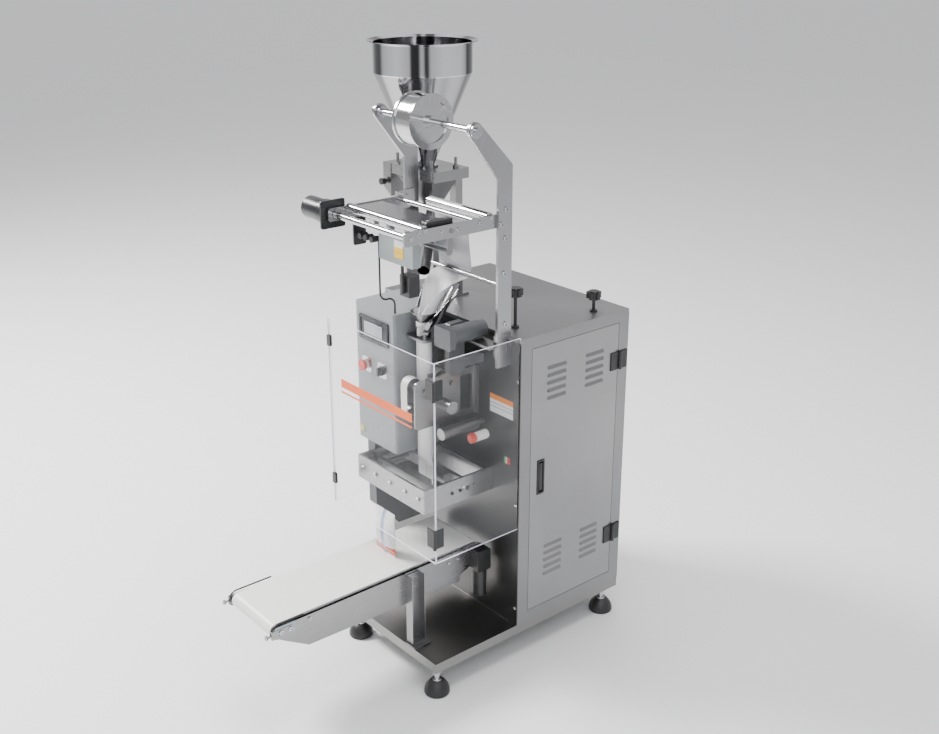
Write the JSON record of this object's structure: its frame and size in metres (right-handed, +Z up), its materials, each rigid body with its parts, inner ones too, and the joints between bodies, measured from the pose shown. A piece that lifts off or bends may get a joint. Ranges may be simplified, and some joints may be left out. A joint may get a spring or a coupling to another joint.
{
  "type": "vertical form fill sealer",
  "caption": "Small packaging machine with a round hopper, film rollers, forming tube, sealing jaws behind a clear guard, steel cabinet and a take-away belt conveyor.",
  "frame": {"origin": "middle of the whole machine's footprint, on the floor", "axes": "+X to the cabinet's door side, +Y to the back, +Z up"},
  "size_m": [0.7279, 1.3, 1.912],
  "materials": {
    "stainless": "brushed, satin",
    "polished": "mirror polished",
    "aluminium": "machined, satin",
    "foot_rubber": "moulded, matt",
    "black_plastic": "moulded, satin",
    "clear_acrylic": "clear, polished",
    "belt_white": "smooth, satin",
    "film_white": "glossy film",
    "box_paint": "satin powder coat",
    "screen_black": "glossy",
    "button_red": "glossy",
    "motor_black": "semi-gloss paint",
    "motor_grey": "satin paint"
  },
  "bodies": {
    "machine": {"base_frame": "stainless", "foot_pads": "foot_rubber", "foot_stems": "stainless", "cabinet_shell": "stainless", "front_panel": "stainless", "top_lid": "stainless", "button_head_screws": "polished", "hinge_leaves": "black_plastic", "star_knobs": "black_plastic", "drive_gearmotor": "motor_grey", "electrical_plate": "box_paint", "uprights": "stainless", "shaft_bearings": "polished", "film_frame": "stainless", "unwind_gearmotor": "motor_black", "photo_eye": "black_plastic", "sensor_cable": "black_plastic", "hopper": "polished", "gate_housing": "stainless", "lower_funnel": "stainless", "forming_tube": "stainless", "forming_collar": "polished", "collar_bracket": "stainless", "draw_belts": "belt_white", "draw_frames": "aluminium", "draw_gearmotor": "motor_grey", "air_cylinders": "aluminium", "film": "film_white", "pouch": "film_white", "control_box": "box_paint", "control_screen": "screen_black", "support_column": "stainless", "jaw_frame": "stainless", "conveyor_belt": "belt_white", "conveyor_frame": "stainless", "conveyor_post": "stainless", "conveyor_gearmotor": "motor_black", "guard_sides": "clear_acrylic"},
    "side_door": {"side_door": "stainless", "door_hinge_leaves": "black_plastic", "door_handle": "black_plastic"},
    "handle_lever": {"handle_lever": "black_plastic"},
    "guard_door": {"guard_door": "clear_acrylic", "guard_fittings": "black_plastic"},
    "roll_shaft": {"roll_shaft": "polished", "roll_chuck": "polished"},
    "unwind_roller": {"unwind_roller": "polished"},
    "front_guide_roller": {"front_guide_roller": "polished"},
    "rear_guide_roller": {"rear_guide_roller": "polished"},
    "dancer_arm": {"dancer_arm": "aluminium"},
    "slide_gate": {"slide_gate": "stainless"},
    "draw_pulley_front": {"draw_pulley_front": "aluminium"},
    "draw_pulley_rear": {"draw_pulley_rear": "aluminium"},
    "vertical_seal_bar": {"vertical_seal_bar": "aluminium"},
    "front_jaw": {"front_jaw": "aluminium"},
    "rear_jaw": {"rear_jaw": "aluminium"},
    "conveyor_drive_roller": {"conveyor_drive_roller": "aluminium"},
    "conveyor_tail_roller": {"conveyor_tail_roller": "aluminium"},
    "stop_button": {"stop_button": "button_red"},
    "selector_switch": {"selector_switch": "black_plastic"}
  },
  "joints": [
    {"name": "side_door_hinge", "type": "hinge", "parent": "machine", "child": "side_door", "pos_m": [0.3465, 0.604, 0.612], "axis": [0, 0, 1], "range_deg": [0, 110]},
    {"name": "handle_lever_pivot", "type": "hinge", "parent": "side_door", "child": "handle_lever", "pos_m": [0.337, 0.268, 0.657], "axis": [0, -1, 0], "range_deg": [0, 70]},
    {"name": "guard_door_hinge", "type": "hinge", "parent": "machine", "child": "guard_door", "pos_m": [0.345, -0.159, 0.778], "axis": [0, 0, 1], "range_deg": [0, 110]},
    {"name": "roll_shaft_spin", "type": "hinge", "parent": "machine", "child": "roll_shaft", "pos_m": [0.06, 0.038, 1.717], "axis": [1, 0, 0], "continuous": true},
    {"name": "unwind_roller_spin", "type": "hinge", "parent": "machine", "child": "unwind_roller", "pos_m": [0.096, -0.182, 1.448], "axis": [1, 0, 0], "continuous": true},
    {"name": "front_guide_roller_spin", "type": "hinge", "parent": "machine", "child": "front_guide_roller", "pos_m": [0.096, -0.132, 1.462], "axis": [1, 0, 0], "continuous": true},
    {"name": "rear_guide_roller_spin", "type": "hinge", "parent": "machine", "child": "rear_guide_roller", "pos_m": [0.14, 0.104, 1.462], "axis": [1, 0, 0], "continuous": true},
    {"name": "dancer_swing", "type": "hinge", "parent": "machine", "child": "dancer_arm", "pos_m": [0.096, -0.04, 1.448], "axis": [1, 0, 0], "range_deg": [-16, 16]},
    {"name": "slide_gate_pull", "type": "slide", "parent": "machine", "child": "slide_gate", "axis": [-1, 0, 0], "range_m": [0, 0.062]},
    {"name": "draw_pulley_front_spin", "type": "hinge", "parent": "machine", "child": "draw_pulley_front", "pos_m": [0.07, -0.0291, 0.917], "axis": [1, 0, 0], "continuous": true},
    {"name": "draw_pulley_rear_spin", "type": "hinge", "parent": "machine", "child": "draw_pulley_rear", "pos_m": [0.07, 0.0771, 0.917], "axis": [1, 0, 0], "continuous": true},
    {"name": "vertical_seal_stroke", "type": "slide", "parent": "machine", "child": "vertical_seal_bar", "axis": [1, 0, 0], "range_m": [0, 0.012]},
    {"name": "front_jaw_close", "type": "slide", "parent": "machine", "child": "front_jaw", "axis": [0, 1, 0], "range_m": [0, 0.024]},
    {"name": "rear_jaw_close", "type": "slide", "parent": "machine", "child": "rear_jaw", "axis": [0, -1, 0], "range_m": [0, 0.024]},
    {"name": "conveyor_drive_spin", "type": "hinge", "parent": "machine", "child": "conveyor_drive_roller", "pos_m": [0.07, 0.126, 0.3451], "axis": [1, 0, 0], "continuous": true},
    {"name": "conveyor_tail_spin", "type": "hinge", "parent": "machine", "child": "conveyor_tail_roller", "pos_m": [0.07, -0.606, 0.3451], "axis": [1, 0, 0], "continuous": true},
    {"name": "stop_button_press", "type": "slide", "parent": "machine", "child": "stop_button", "axis": [0, 1, 0], "range_m": [0, 0.006], "stiffness_N_per_m": 400},
    {"name": "selector_turn", "type": "hinge", "parent": "machine", "child": "selector_switch", "pos_m": [-0.043, -0.054, 0.937], "axis": [0, -1, 0], "range_deg": [-45, 45]}
  ],
  "couplings": [
    {"joint": "draw_pulley_rear_spin", "follows": "draw_pulley_front_spin", "ratio": -1},
    {"joint": "rear_jaw_close", "follows": "front_jaw_close", "ratio": 1},
    {"joint": "conveyor_tail_spin", "follows": "conveyor_drive_spin", "ratio": 1}
  ]
}
